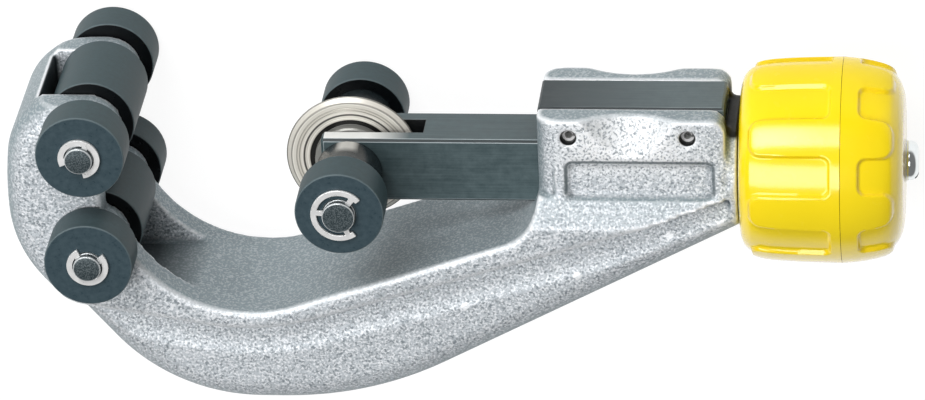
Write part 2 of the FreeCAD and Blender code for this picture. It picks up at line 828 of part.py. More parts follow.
def make_knob_cap():
    length = knob_end - knob_split
    barrel = knob_barrel(knob_split, length, cap_shares, 0)
    outer = turned_about_feed([(knob_split, 0), (knob_split, knob_radius)] + barrel + [(knob_end, 0)])
    sunk = knob_barrel(knob_split, length, cap_shares, recess_depth)
    start = (knob_split, knob_radius - recess_depth)
    core = turned_about_feed([(knob_split, 0), start] + sunk + [(knob_end, 0)])
    high_ring = shaft(knob_radius + overrun, cap_finger_end, knob_end + overrun)
    cutters = recess_cutters(cap_recess_start, knob_end + overrun, cap_finger_end, cap_recess_half_width)
    cap = core.fuse(outer.cut(cutters + [high_ring]))
    hollow_end = knob_end - knob_face_wall - cap_seat_depth
    inside = knob_radius - knob_wall
    hollow = turned_about_feed([
        (knob_split - overrun, grip_hub_radius), (knob_split - overrun, inside), (cap_recess_start, inside),
        (hollow_end, inside * cap_shares[3][1]), (hollow_end, grip_hub_radius),
    ])
    drive = block(knob_split - overrun, drive_end + knob_hub_gap, -drive_half_width - seat_gap,
                  drive_half_width + seat_gap, drive_half_width + seat_gap)
    bore = shaft(end_screw_shank_radius + seat_gap, drive_end - overrun, knob_end + overrun)
    seat = shaft(end_washer_radius + side_gap, cap_seat_x(), knob_end + overrun)
    return solid_of(cap.cut([hollow, drive, bore, seat]))


def make_end_washer():
    start = cap_seat_x() + seat_gap
    end = start + end_washer_thickness
    ring = shaft(end_washer_radius, start, end)
    return ring.cut(shaft(end_screw_shank_radius + seat_gap, start, end))


def make_end_screw():
    start = cap_seat_x() + 2 * seat_gap + end_washer_thickness
    end = start + end_screw_head_height
    head = shaft(end_screw_head_radius, start, end)
    head = rounded(head, end_screw_edge_radius, lambda edge: abs(middle_of(edge).x - end) < seat_gap)
    shank = shaft(end_screw_shank_radius, start - end_screw_length, start + end_screw_head_height / 2)
    slot = block(end - end_screw_slot_depth, end + overrun, -end_screw_slot_half_width,
                 end_screw_slot_half_width, end_screw_head_radius + overrun)
    slot.rotate(Vector(0, 0, 0), Vector(1, 0, 0), 45)
    return solid_of(head.fuse(shank).cut(slot))


def make_all():
    """Every piece under its own name."""
    front = (roller_start, roller_end)
    rear = (-roller_end, -roller_start)
    middle = (-fork_half_gap + side_gap, fork_half_gap - side_gap)
    jaw_bore = jaw_axle_radius + running_gap
    wheel_bore = wheel_axle_radius + running_gap
    pieces = {
        "frame": make_frame(),
        "keeper_bar": make_keeper_bar(),
        "keeper_pins": make_keeper_pins(),
        "slider": make_slider(),
        "cutting_wheel": make_wheel(),
        "wheel_axle": make_axle(0, 0, wheel_axle_radius),
        "wheel_axle_clips": make_clips(
            0, 0, wheel_axle_radius, wheel_clip_radius, wheel_clip_half_angle, wheel_clip_angle),
        "front_spacer": make_spacer(1),
        "rear_spacer": make_spacer(-1),
        "slider_front_roller": make_roller(0, 0, *front, roller_radius, wheel_bore),
        "slider_rear_roller": make_roller(0, 0, *rear, roller_radius, wheel_bore),
        "feed_screw": make_feed_screw(),
        "thrust_washer": make_thrust_washer(),
        "knob_grip": make_knob_grip(),
        "knob_cap": make_knob_cap(),
        "end_washer": make_end_washer(),
        "end_screw": make_end_screw(),
    }
    jaws = (("upper", jaw_rise, upper_clip_angle), ("lower", -jaw_rise, lower_clip_angle))
    for name, y, clip_turn in jaws:
        x = -jaw_setback
        pieces[name + "_jaw_axle"] = make_axle(x, y, jaw_axle_radius)
        pieces[name + "_jaw_clips"] = make_clips(
            x, y, jaw_axle_radius, jaw_clip_radius, jaw_clip_half_angle, clip_turn)
        pieces[name + "_front_roller"] = make_roller(x, y, *front, roller_radius, jaw_bore)
        pieces[name + "_rear_roller"] = make_roller(x, y, *rear, roller_radius, jaw_bore)
        pieces[name + "_middle_roller"] = make_roller(x, y, *middle, middle_roller_radius, jaw_bore)
    return pieces


os.makedirs("parts", exist_ok=True)
for node, shape in make_all().items():
    shape.translate(Vector(0, 0, mid_height))
    shape.exportStep("parts/" + node + ".step")
    print(node, "solids", len(shape.Solids), "valid", shape.isValid(), "volume", round(shape.Volume, 1))
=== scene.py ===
import math

import bmesh
import bpy
from mathutils import Matrix, Vector


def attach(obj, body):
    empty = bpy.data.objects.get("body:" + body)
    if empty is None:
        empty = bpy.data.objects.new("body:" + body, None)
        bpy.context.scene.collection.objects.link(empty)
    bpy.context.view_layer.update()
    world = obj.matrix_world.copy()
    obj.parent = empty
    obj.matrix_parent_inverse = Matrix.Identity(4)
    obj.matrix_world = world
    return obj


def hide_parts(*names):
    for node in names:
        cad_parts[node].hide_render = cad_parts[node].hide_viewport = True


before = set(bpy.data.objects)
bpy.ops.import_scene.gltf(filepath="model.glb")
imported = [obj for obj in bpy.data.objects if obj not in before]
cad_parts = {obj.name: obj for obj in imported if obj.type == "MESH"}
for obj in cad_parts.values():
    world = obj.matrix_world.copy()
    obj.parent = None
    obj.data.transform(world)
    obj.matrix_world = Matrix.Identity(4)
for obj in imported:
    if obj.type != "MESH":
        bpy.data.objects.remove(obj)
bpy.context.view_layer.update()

# Lengths are millimetres, and MM makes metres of them. X runs along the feed axis towards the
# knob, Y towards the open side of the frame and Z up, along the roller axles. The feed axis lies
# at MIDDLE above the floor, and the cutting wheel turns about the Z axis.
MM = 0.001
MIDDLE = 28.5

# Axles and what turns on them. NEAR and FAR are measured from MIDDLE.
JAW_X, JAW_Y = -54.75, 12.95
JAW_AXLE_RADIUS, WHEEL_AXLE_RADIUS = 3.0, 3.5
CLIP_GROOVE_START, CLIP_GROOVE_END, CLIP_GROOVE_DEPTH = 1.0, 1.7, 0.9
RUNNING_GAP = 0.05
OUTER_ROLLER_RADIUS, MIDDLE_ROLLER_RADIUS = 9.5, 9.4
OUTER_ROLLER_NEAR, OUTER_ROLLER_FAR = 17.9, 26.7
MIDDLE_ROLLER_FAR = 10.2
SPACER_BORE, SPACER_RADIUS = 3.52, 7.1
SPACER_NEAR, SPACER_FAR = 6.62, 17.85

# Upper face of the cutting wheel as (radius, height over the middle plane), from bore to edge
WHEEL_FACE = [
    (3.55, 2.75), (7.6, 2.75), (7.95, 2.4), (8.0, 0.7), (9.05, 0.7), (9.25, 1.05),
    (10.3, 1.05), (10.45, 0.85), (10.6, 1.05), (11.4, 1.05), (11.5, 0.95), (11.6, 1.05),
    (12.0, 1.05), (12.1, 0.95), (12.2, 1.05), (13.1, 1.05), (13.2, 0.85), (13.35, 0.82), (14.25, 0.06)]
WHEEL_RADIUS = 14.4
# Painted shade as dark lines in the turned grooves of that face and along its edge, as (radius, half width,
# strength)
WHEEL_GROOVE_SHADES = [(13.2, 0.14, 0.7), (12.1, 0.12, 0.4), (11.5, 0.12, 0.5), (10.45, 0.2, 1.0), (14.3, 0.14, 0.9)]

# Feed screw as (radius, X): chamfered tip, core, flange and journal, then thread and square drive
SCREW_PROFILE = [(0, 27), (3.0, 27), (3.4, 27.6), (3.4, 75.9), (6.3, 76), (6.3, 78),
                 (4.5, 78), (4.5, 85.6), (0, 85.6)]
THREAD_CORNERS = [(3.3, 27.7), (4.0, 28.3), (3.3, 28.9)]
THREAD_TURNS, THREAD_LEAD = 37, 1.25
DRIVE_LENGTH, DRIVE_WIDTH, DRIVE_X = 26.6, 6.2, 98.7

# Knob. The barrels are shares: (along the half, of KNOB_RADIUS).
KNOB_RADIUS, KNOB_BORE, KNOB_HOLLOW = 22.1, 4.52, 19.1
GRIP_START, SPLIT, CAP_END = 83.8, 105.75, 118.8
GRIP_END = SPLIT - 0.1
GRIP_WALL, CAP_WALL = 2.4, 2.9
GRIP_BARREL_SHARES = [(0.0, 0.64), (0.01, 0.79), (0.045, 0.875), (0.137, 0.94), (0.34, 0.976),
                      (0.62, 0.991), (1.0, 1.0)]
CAP_BARREL_SHARES = [(0.0, 1.0), (0.25, 0.985), (0.56, 0.95), (0.77, 0.905), (0.905, 0.82),
                     (0.985, 0.7), (1.0, 0.64)]
GRIP_INSIDE = [(KNOB_HOLLOW, GRIP_END), (KNOB_HOLLOW, GRIP_START + 0.35 * (GRIP_END - GRIP_START)),
               (16.0, GRIP_START + GRIP_WALL), (KNOB_BORE, GRIP_START + GRIP_WALL)]
CAP_INSIDE = [(KNOB_BORE, CAP_END - CAP_WALL), (14.5, CAP_END - CAP_WALL),
              (KNOB_HOLLOW, SPLIT + 4), (KNOB_HOLLOW, SPLIT)]
RECESSES, RECESS_TURN = 8, math.radians(17.5)
RECESS_DEPTH, RECESS_WALL, RECESS_CORNER, FINGER_CORNER = 0.9, 0.6, 1.7, 2.4
# Recesses as (closed end, finger end, 1 or -1 towards the closed end, half width)
GRIP_RECESS, CAP_RECESS = (103.4, 86.4, 1, 4.3), (109.5, 116.8, -1, 3.9)

# Places on the frame that its material marks
PIN_XS, PIN_Y = (47.95, 73.25), 11.5
PANEL_CENTRE = {"X": 62.95, "Y": 1.5}
PANEL_HALF = {"X": 15.75, "Y": 4.3}
PANEL_CORNER = 1.6

# Colours are linear. A pair goes from the darker to the lighter end of a finish.
CASTING_SKIN = (0.20, 0.25, 0.27), (0.315, 0.38, 0.405)
BLASTED_SIDE = (0.48, 0.52, 0.555), (0.60, 0.64, 0.675)
PAINTED_CHEEK_HIGHLIGHT = (0.90, 0.91, 0.92)
CASTING_PIT = (0.24, 0.275, 0.30)
CASTING_SPECK = (0.93, 0.95, 0.98)
CASTING_CORNER_PAINTED_SHADE = (0.07, 0.09, 0.10)
CASTING_EDGE_WEAR_AND_HIGHLIGHT = (0.93, 0.95, 0.97)
FORK_PAINTED_SHADE = (0.03, 0.04, 0.045)
CHANNEL_PAINTED_SHADE = (0.010, 0.011, 0.012)
PANEL_SHADE = (0.09, 0.12, 0.13)
PIN_HOLE_PAINTED_SHADE = (0.008, 0.009, 0.010)
STEEL_CHAMFER = (0.016, 0.022, 0.024)
STEEL_EDGE_PAINTED_HIGHLIGHT = (0.42, 0.48, 0.50)
KEEPER_GROUND = (0.046, 0.074, 0.082), (0.108, 0.144, 0.152)
KEEPER_FRONT = (0.012, 0.020, 0.024)
SLIDER_GROUND = (0.036, 0.060, 0.066), (0.080, 0.116, 0.124)
SLIDER_NOSE_PAINTED_REFLECTION = (0.84, 0.85, 0.83)
SLIDER_SLOT_PAINTED_SHADE = (0.006, 0.007, 0.008)
ROLLER_SIDE = (0.030, 0.052, 0.058), (0.056, 0.089, 0.098)
ROLLER_END = (0.028, 0.049, 0.061), (0.052, 0.081, 0.096)
ROLLER_INNER_END_PAINTED_SHADE = (0.003, 0.004, 0.005)
ROLLER_RIM = (0.30, 0.36, 0.38)
SPACER_STEEL = (0.008, 0.012, 0.014), (0.018, 0.026, 0.029)
SPACER_PAINTED_HIGHLIGHT = (0.50, 0.49, 0.46)
WHEEL_STEEL = (0.64, 0.61, 0.54), (0.90, 0.87, 0.80)
WHEEL_GROOVE_PAINTED_SHADE = (0.07, 0.07, 0.065)
WHEEL_RECESS_PAINTED_SHADE = (0.012, 0.012, 0.011)
WHEEL_HUB = (0.30, 0.30, 0.28)
AXLE_END = (0.030, 0.048, 0.056), (0.14, 0.17, 0.18)
AXLE_RIM = (0.72, 0.75, 0.76)
BRIGHT_PLATE = (0.90, 0.90, 0.90), (0.98, 0.98, 0.97)
SCREW_PLATE = (0.70, 0.74, 0.75), (0.90, 0.93, 0.93)
YELLOW = (0.95, 0.70, 0.001), (0.98, 0.75, 0.002)
YELLOW_WALL_PAINTED_SHADE = (0.80, 0.40, 0.0)


# Camera, fitted to the circles and straight edges of the photograph

def place_camera():
    turn, tilt, roll = math.radians(6.863), math.radians(28.0113), math.radians(-2.7254)
    target = Vector((23.2776, -10.5791, MIDDLE)) * MM
    distance = 1277.6 * MM
    focal_pixels, photo_width, sensor_width = 5912.27, 925, 36
    back = Vector((math.sin(turn) * math.cos(tilt), math.sin(tilt), math.cos(turn) * math.cos(tilt)))
    level = Vector((math.cos(turn), 0, -math.sin(turn)))
    upright = back.cross(level)
    right = level * math.cos(roll) + upright * math.sin(roll)
    up = upright * math.cos(roll) - level * math.sin(roll)
    data = bpy.data.cameras.new("camera")
    data.sensor_width = sensor_width
    data.lens = sensor_width * focal_pixels / photo_width
    data.clip_start = 0.01
    camera = bpy.data.objects.new("camera", data)
    axes = Matrix((right, up, back)).transposed().to_4x4()
    camera.matrix_world = Matrix.Translation(target + back * distance) @ axes
    bpy.context.scene.collection.objects.link(camera)
    bpy.context.scene.camera = camera


# Shader node helpers. A value is a number, a colour or another node's output socket.

def add_node(tree, kind, values=None, **settings):
    node = tree.nodes.new(kind)
    for name, value in settings.items():
        setattr(node, name, value)
    for key, value in (values or {}).items():
        node.inputs[key].default_value = value
    return node


def feed(tree, value, socket):
    """Links an output to a socket, or sets the socket's own value."""
    if isinstance(value, bpy.types.NodeSocket):
        tree.links.new(value, socket)
    else:
        socket.default_value = value


def calculate(tree, operation, first, second=None, clamp=False):
    node = add_node(tree, "ShaderNodeMath", operation=operation, use_clamp=clamp)
    feed(tree, first, node.inputs[0])
    if second is not None:
        feed(tree, second, node.inputs[1])
    return node.outputs["Value"]


def product(tree, first, *others):
    for other in others:
        first = calculate(tree, "MULTIPLY", first, other)
    return first


def greatest(tree, first, *others):
    for other in others:
        first = calculate(tree, "MAXIMUM", first, other)
    return first


def shared_out(tree, first, second, share):
    """The first value by its share plus the second by the rest."""
    return calculate(tree, "ADD", product(tree, first, share), product(tree, second, 1 - share))


def away_from(tree, value, centre):
    """Distance of a place from a centre in millimetres, both along one axis."""
    return calculate(tree, "ABSOLUTE", calculate(tree, "SUBTRACT", value, centre * MM))


def long_side(tree, first, second):
    """Longest side of a right triangle."""
    squares = calculate(tree, "ADD", product(tree, first, first), product(tree, second, second))
    return calculate(tree, "SQRT", squares)


def between(tree, value, low, high, to_low=0.0, to_high=1.0):
    """Maps a value from one span to another, held at the ends."""
    node = add_node(tree, "ShaderNodeMapRange", {
        "From Min": low, "From Max": high, "To Min": to_low, "To Max": to_high}, clamp=True)
    feed(tree, value, node.inputs["Value"])
    return node.outputs["Result"]


def fade(tree, value, start, end, most=1.0):
    """Mask of a place: 0 up to the start and its most from the end on, both in millimetres."""
    return between(tree, value, start * MM, end * MM, 0.0, most)


def blend_colours(tree, share, first, second):
    node = add_node(tree, "ShaderNodeMix", data_type="RGBA")
    feed(tree, share, node.inputs["Factor"])
    for name, value in (("A", first), ("B", second)):
        socket = [s for s in node.inputs if s.name == name and s.type == "RGBA"][0]
        feed(tree, (*value, 1.0) if isinstance(value, tuple) else value, socket)
    return [s for s in node.outputs if s.type == "RGBA"][0]


def paint(tree, colour, *coats):
    """Lays coats over a colour, each a mask and the colour that shows through it."""
    for mask, coat in coats:
        colour = blend_colours(tree, mask, colour, coat)
    return colour


def noise(tree, vector, scale, detail=3.0, roughness=0.5):
    node = add_node(tree, "ShaderNodeTexNoise", {"Scale": scale, "Detail": detail, "Roughness": roughness})
    feed(tree, vector, node.inputs["Vector"])
    return node.outputs["Fac"]


def mapped(tree, vector, **values):
    node = add_node(tree, "ShaderNodeMapping", values)
    feed(tree, vector, node.inputs["Vector"])
    return node.outputs["Vector"]


def split_vector(tree, vector):
    parts = add_node(tree, "ShaderNodeSeparateXYZ")
    feed(tree, vector, parts.inputs[0])
    return parts.outputs


# Shader node groups

def start_group(name, inputs, outputs):
    """Empty group. An input without a default is a vector; the others and the outputs are numbers."""
    tree = bpy.data.node_groups.new(name, "ShaderNodeTree")
    for socket_name, default in inputs.items():
        kind = "NodeSocketVector" if default is None else "NodeSocketFloat"
        socket = tree.interface.new_socket(socket_name, in_out="INPUT", socket_type=kind)
        if default is not None:
            socket.default_value = default
    for socket_name in outputs:
        tree.interface.new_socket(socket_name, in_out="OUTPUT", socket_type="NodeSocketFloat")
    return tree, tree.nodes.new("NodeGroupInput").outputs, tree.nodes.new("NodeGroupOutput").inputs


def make_cast_grain():
    """Stipple of a sand-blasted casting: height, dark pits and bright specks."""
    tree, given, result = start_group("cast grain", {"Vector": None}, ["Height", "Pits", "Specks"])
    coarse, fine, pits, specks = [
        noise(tree, given["Vector"], scale, 2.0) for scale in (1100, 2600, 1700, 1900)]
    feed(tree, shared_out(tree, coarse, fine, 0.6), result["Height"])
    feed(tree, between(tree, pits, 0.53, 0.36), result["Pits"])
    feed(tree, between(tree, specks, 0.49, 0.62), result["Specks"])
    return tree


def make_brushed_lines():
    """Fine grinding lines along X, with a faint mottle."""
    tree, given, result = start_group("brushed lines", {"Vector": None}, ["Lines", "Mottle"])
    drawn_out = mapped(tree, given["Vector"], Scale=(0.03, 1.0, 1.0))
    feed(tree, noise(tree, drawn_out, 2600, 2.0), result["Lines"])
    feed(tree, noise(tree, given["Vector"], 420, 4.0, 0.65), result["Mottle"])
    return tree


def make_turned_rings():
    """Lathe marks round a Z axis through the origin, and the distance from that axis."""
    tree, given, result = start_group("turned rings", {"Vector": None}, ["Rings", "Radius"])
    parts = split_vector(tree, given["Vector"])
    radius = long_side(tree, parts["X"], parts["Y"])
    spot = add_node(tree, "ShaderNodeCombineXYZ")
    feed(tree, radius, spot.inputs["X"])
    feed(tree, parts["Z"], spot.inputs["Y"])
    feed(tree, noise(tree, spot.outputs[0], 3200, 2.0), result["Rings"])
    feed(tree, radius, result["Radius"])
    return tree


def make_edge_wear_and_corner_shade():
    """Masks of outer edges and of inner corners, from the curvature of the surface. The casting paints wear
    and a highlight on the edges, and shade in the corners.
    """
    tree, given, result = start_group("edge wear and sheen, corner shade", {"Low": 0.52, "High": 0.6}, ["Edges", "Corners"])
    level = 0.5
    pointiness = add_node(tree, "ShaderNodeNewGeometry").outputs["Pointiness"]
    bend = calculate(tree, "SUBTRACT", pointiness, level)
    reach = calculate(tree, "SUBTRACT", given["High"], given["Low"])
    for name, side in (("Edges", 1.0), ("Corners", -1.0)):
        value = calculate(tree, "ADD", product(tree, bend, side), level)
        past = calculate(tree, "SUBTRACT", value, given["Low"])
        feed(tree, calculate(tree, "DIVIDE", past, reach, clamp=True), result[name])
    return tree


def make_square_edges():
    """Masks of the long chamfers of a bar along X, and of the thin lines beside them."""
    tree, given, result = start_group("square edges", {"Normal": None}, ["Chamfers", "Lines"])
    parts = split_vector(tree, given["Normal"])
    along, up, out = [calculate(tree, "ABSOLUTE", parts[axis]) for axis in "XYZ"]
    squareness = greatest(tree, up, out)
    long_edge = between(tree, along, 0.25, 0.1)
    feed(tree, product(tree, long_edge, between(tree, squareness, 0.80, 0.74)), result["Chamfers"])
    beside = product(tree, between(tree, squareness, 0.998, 0.96), between(tree, squareness, 0.76, 0.82))
    feed(tree, product(tree, long_edge, beside), result["Lines"])
    return tree


def make_turned_rims():
    """Masks of the end faces and of the rounded rims of a piece turned about Z."""
    tree, given, result = start_group("turned rims", {"Normal": None}, ["Ends", "Rims"])
    facing = calculate(tree, "ABSOLUTE", split_vector(tree, given["Normal"])["Z"])
    feed(tree, between(tree, facing, 0.80, 0.98), result["Ends"])
    rims = product(tree, between(tree, facing, 0.08, 0.30), between(tree, facing, 0.99, 0.90))
    feed(tree, rims, result["Rims"])
    return tree


GROUPS = {tree.name: tree for tree in (
    make_cast_grain(), make_brushed_lines(), make_turned_rings(), make_edge_wear_and_corner_shade(), make_square_edges(),
    make_turned_rims())}


def place_group(tree, name, **values):
    node = add_node(tree, "ShaderNodeGroup", node_tree=GROUPS[name])
    for key, value in values.items():
        feed(tree, value, node.inputs[key])
    return node.outputs


# Materials

def start_material(name, **sockets):
    """Empty material with its Principled shader; returns the tree, the shader and object coordinates."""
    material = bpy.data.materials.new(name)
    material.use_nodes = True
    tree = material.node_tree
    shader = tree.nodes["Principled BSDF"]
    for key, value in sockets.items():
        shader.inputs[key.replace("_", " ")].default_value = value
    place = add_node(tree, "ShaderNodeTexCoord").outputs["Object"]
    return material, tree, shader, place


def surface_normal(tree):
    return add_node(tree, "ShaderNodeTexCoord").outputs["Normal"]


def add_bump(tree, shader, height, strength, depth):
    bump = add_node(tree, "ShaderNodeBump", {"Strength": strength, "Distance": depth * MM})
    feed(tree, height, bump.inputs["Height"])
    feed(tree, bump.outputs["Normal"], shader.inputs["Normal"])


def panel_distance(tree, spot):
    """Distance in the side view from the outline of the recessed panel on the body."""
    beyond = [calculate(tree, "SUBTRACT", away_from(tree, spot[axis], PANEL_CENTRE[axis]),
                        (PANEL_HALF[axis] - PANEL_CORNER) * MM) for axis in "XY"]
    outside = long_side(tree, *[greatest(tree, value, 0.0) for value in beyond])
    inside = calculate(tree, "MINIMUM", greatest(tree, *beyond), 0.0)
    rounded = calculate(tree, "SUBTRACT", calculate(tree, "ADD", outside, inside), PANEL_CORNER * MM)
    return calculate(tree, "ABSOLUTE", rounded)


def pin_hole_shade(tree, spot):
    """Mask of the painted shade in the mouths of the two pin holes in the cheeks."""
    rise = away_from(tree, spot["Y"], PIN_Y)
    return greatest(tree, *[
        fade(tree, long_side(tree, away_from(tree, spot["X"], x), rise), 1.85, 1.7) for x in PIN_XS])


def casting_painted_shade(tree, spot, normal, aside):
    """Masks of painted shade inside the fork and in the narrow channel behind the keeper."""
    back_of_fork = product(tree, between(tree, normal["X"], 0.3, 0.7), fade(tree, spot["X"], -58, -61),
                           fade(tree, aside, 10.9, 10.5))
    floor_of_fork = product(tree, fade(tree, spot["X"], -58, -54), fade(tree, spot["X"], -33, -45, 0.8),
                            fade(tree, aside, 9.8, 8.8))
    behind_keeper = product(tree, fade(tree, spot["X"], 80.5, 81.1), fade(tree, spot["Y"], 9.3, 10.3),
                            fade(tree, aside, 10.5, 9.5))
    return greatest(tree, back_of_fork, floor_of_fork), behind_keeper


def make_cast_aluminium():
    """Casting with blasted sides and a smoother, darker skin round its edge."""
    material, tree, shader, place = start_material("cast_aluminium", Metallic=0.35, Specular_IOR_Level=0.4)
    grain = place_group(tree, "cast grain", Vector=place)
    wear_sheen_and_shade = place_group(tree, "edge wear and sheen, corner shade", Low=0.511, High=0.548)
    spot = split_vector(tree, place)
    normal = split_vector(tree, surface_normal(tree))
    aside = away_from(tree, spot["Z"], MIDDLE)
    facing = calculate(tree, "ABSOLUTE", normal["Z"])
    blasted = between(tree, facing, 0.60, 0.95)
    coarseness = calculate(tree, "ADD", product(tree, blasted, 0.6), 0.4)
    cloud = noise(tree, place, 70, 4.0)
    # Painted highlight: the cheeks between the pins are lightened where light glints on them.
    cheek_highlight_mask = product(tree, fade(tree, spot["Y"], 1, 6), fade(tree, spot["X"], 42, 52),
                       fade(tree, spot["X"], 78, 68))
    side = blend_colours(tree, cheek_highlight_mask, blend_colours(tree, cloud, *BLASTED_SIDE), PAINTED_CHEEK_HIGHLIGHT)
    fork_shade, channel_shade = casting_painted_shade(tree, spot, normal, aside)
    panel_wall = product(
        tree, fade(tree, panel_distance(tree, spot), 0.5, 0.2), fade(tree, spot["Y"], -2.6, -1.2),
        fade(tree, spot["Z"], MIDDLE + 8, MIDDLE + 9), 0.8)
    colour = paint(
        tree, blend_colours(tree, cloud, *CASTING_SKIN),
        (blasted, side),
        (product(tree, grain["Pits"], coarseness), CASTING_PIT),
        (product(tree, grain["Specks"], between(tree, facing, 0.64, 0.97, 0.25, 0.8)), CASTING_SPECK),
        # Painted shade in the inner corners.
        (product(tree, wear_sheen_and_shade["Corners"], 0.85), CASTING_CORNER_PAINTED_SHADE),
        # On the outer edges, wear together with a painted highlight.
        (product(tree, wear_sheen_and_shade["Edges"], 0.8), CASTING_EDGE_WEAR_AND_HIGHLIGHT),
        # Painted shade in the fork and in the channel behind the keeper.
        (fork_shade, FORK_PAINTED_SHADE),
        (channel_shade, CHANNEL_PAINTED_SHADE),
        (panel_wall, PANEL_SHADE),
        # Painted shade in the mouths of the pin holes.
        (pin_hole_shade(tree, spot), PIN_HOLE_PAINTED_SHADE))
    feed(tree, colour, shader.inputs["Base Color"])
    rough = calculate(tree, "SUBTRACT", between(tree, grain["Height"], 0.3, 0.7, 0.46, 0.58),
                      product(tree, wear_sheen_and_shade["Edges"], 0.15))
    feed(tree, rough, shader.inputs["Roughness"])
    add_bump(tree, shader, product(tree, grain["Height"], coarseness), 0.6, 0.25)
    return material


def start_dark_steel(name, ground):
    """Blackened steel, ground flat along the feed axis; the caller joins the colour that it returns."""
    material, tree, shader, place = start_material(name, Metallic=0.0, Specular_IOR_Level=0.36)
    lines = place_group(tree, "brushed lines", Vector=place)
    edges = place_group(tree, "square edges", Normal=surface_normal(tree))
    shade = shared_out(tree, between(tree, lines["Mottle"], 0.3, 0.7),
                       between(tree, lines["Lines"], 0.3, 0.7), 0.6)
    # Darker chamfers, and a painted highlight along the thin line beside each one.
    colour = paint(
        tree, blend_colours(tree, shade, *ground),
        (product(tree, edges["Chamfers"], 0.85), STEEL_CHAMFER),
        (product(tree, edges["Lines"], 0.8), STEEL_EDGE_PAINTED_HIGHLIGHT))
    feed(tree, between(tree, lines["Mottle"], 0.3, 0.7, 0.36, 0.5), shader.inputs["Roughness"])
    add_bump(tree, shader, lines["Lines"], 0.25, 0.08)
    return material, tree, shader, split_vector(tree, place), colour


def make_keeper_steel():
    """Keeper steel, blacker towards its front end."""
    material, tree, shader, spot, colour = start_dark_steel("keeper_steel", KEEPER_GROUND)
    front = fade(tree, spot["X"], 70, 42, 0.85)
    feed(tree, paint(tree, colour, (front, KEEPER_FRONT)), shader.inputs["Base Color"])
    return material


def make_slider_steel():
    """Slider steel with a painted reflection on top of the cheek next to the wheel, and painted shade in the
    wheel slot.
    """
    material, tree, shader, spot, colour = start_dark_steel("slider_steel", SLIDER_GROUND)
    upward = between(tree, split_vector(tree, surface_normal(tree))["Y"], 0.8, 0.97)
    # Painted reflection on top of the cheek next to the wheel.
    nose_reflection = product(tree, upward, fade(tree, spot["X"], 13, 4), fade(tree, spot["Z"], MIDDLE, MIDDLE + 1))
    # Painted shade in the wheel slot.
    slot_shade = product(tree, fade(tree, away_from(tree, spot["Z"], MIDDLE), 3.12, 3.02),
                      fade(tree, spot["X"], 15.98, 15.85))
    marked = paint(tree, colour, (nose_reflection, SLIDER_NOSE_PAINTED_REFLECTION), (slot_shade, SLIDER_SLOT_PAINTED_SHADE))
    feed(tree, marked, shader.inputs["Base Color"])
    return material


def make_roller_steel(name, x, y):
    """Blackened steel turned on a lathe about an axle at (x, y). Ends that face inwards are painted near
    black as shade.
    """
    material, tree, shader, place = start_material(name, Metallic=0.0, Specular_IOR_Level=0.22)
    rings = place_group(tree, "turned rings", Vector=mapped(tree, place, Location=(-x * MM, -y * MM, 0.0)))
    rims = place_group(tree, "turned rims", Normal=surface_normal(tree))
    mottle = between(tree, noise(tree, place, 900, 4.0, 0.6), 0.3, 0.7)
    shade = shared_out(tree, mottle, rings["Rings"], 0.6)
    outer = fade(tree, away_from(tree, split_vector(tree, place)["Z"], MIDDLE), 23, 25)
    # Painted shade: the ends that face inwards are near black.
    ends = blend_colours(tree, outer, ROLLER_INNER_END_PAINTED_SHADE, blend_colours(tree, shade, *ROLLER_END))
    colour = paint(
        tree, blend_colours(tree, shade, *ROLLER_SIDE),
        (rims["Ends"], ends),
        (product(tree, rims["Rims"], 0.22), ROLLER_RIM))
    feed(tree, colour, shader.inputs["Base Color"])
    rough = calculate(tree, "SUBTRACT", between(tree, mottle, 0.0, 1.0, 0.46, 0.56),
                      product(tree, rims["Ends"], 0.2))
    feed(tree, rough, shader.inputs["Roughness"])
    add_bump(tree, shader, rings["Rings"], 0.3, 0.06)
    return material


def make_spacer_steel():
    """Near-black spacers, the front one with a painted highlight along the top next to the slider's cheek.
    """
    material, tree, shader, place = start_material(
        "spacer_steel", Metallic=0.0, Roughness=0.26, Specular_IOR_Level=0.6)
    spot = split_vector(tree, place)
    mottle = between(tree, noise(tree, place, 900, 3.0), 0.3, 0.7)
    upward = between(tree, split_vector(tree, surface_normal(tree))["Y"], 0.93, 0.985)
    # Painted highlight along the top of the front spacer.
    top_highlight = product(tree, upward, fade(tree, spot["Z"], MIDDLE + 11.5, MIDDLE + 9.5),
                   fade(tree, spot["Z"], MIDDLE, MIDDLE + 1))
    colour = paint(tree, blend_colours(tree, mottle, *SPACER_STEEL), (top_highlight, SPACER_PAINTED_HIGHLIGHT))
    feed(tree, colour, shader.inputs["Base Color"])
    return material


def make_wheel_steel():
    """Polished cutting wheel: crisp turned steps, painted shade in the grooves and in the recess round the
    hub, and a darker hub.
    """
    material, tree, shader, place = start_material("wheel_steel", Metallic=0.3, Specular_IOR_Level=0.4)
    rings = place_group(tree, "turned rings", Vector=place)
    lines = []
    for radius, half_width, strength in WHEEL_GROOVE_SHADES:
        away = away_from(tree, rings["Radius"], radius)
        lines.append(fade(tree, away, half_width * 1.6, half_width * 0.6, strength))
    colour = paint(
        tree, blend_colours(tree, between(tree, rings["Rings"], 0.3, 0.7), *WHEEL_STEEL),
        # Painted shade in the grooves and along the edge.
        (product(tree, greatest(tree, *lines), 0.9), WHEEL_GROOVE_PAINTED_SHADE),
        # Painted shade in the recess round the hub.
        (fade(tree, rings["Radius"], 9.25, 9.1), WHEEL_RECESS_PAINTED_SHADE),
        (fade(tree, rings["Radius"], 8.08, 8.03), WHEEL_HUB))
    feed(tree, colour, shader.inputs["Base Color"])
    feed(tree, between(tree, rings["Rings"], 0.3, 0.7, 0.28, 0.4), shader.inputs["Roughness"])
    add_bump(tree, shader, rings["Rings"], 0.2, 0.04)
    return material


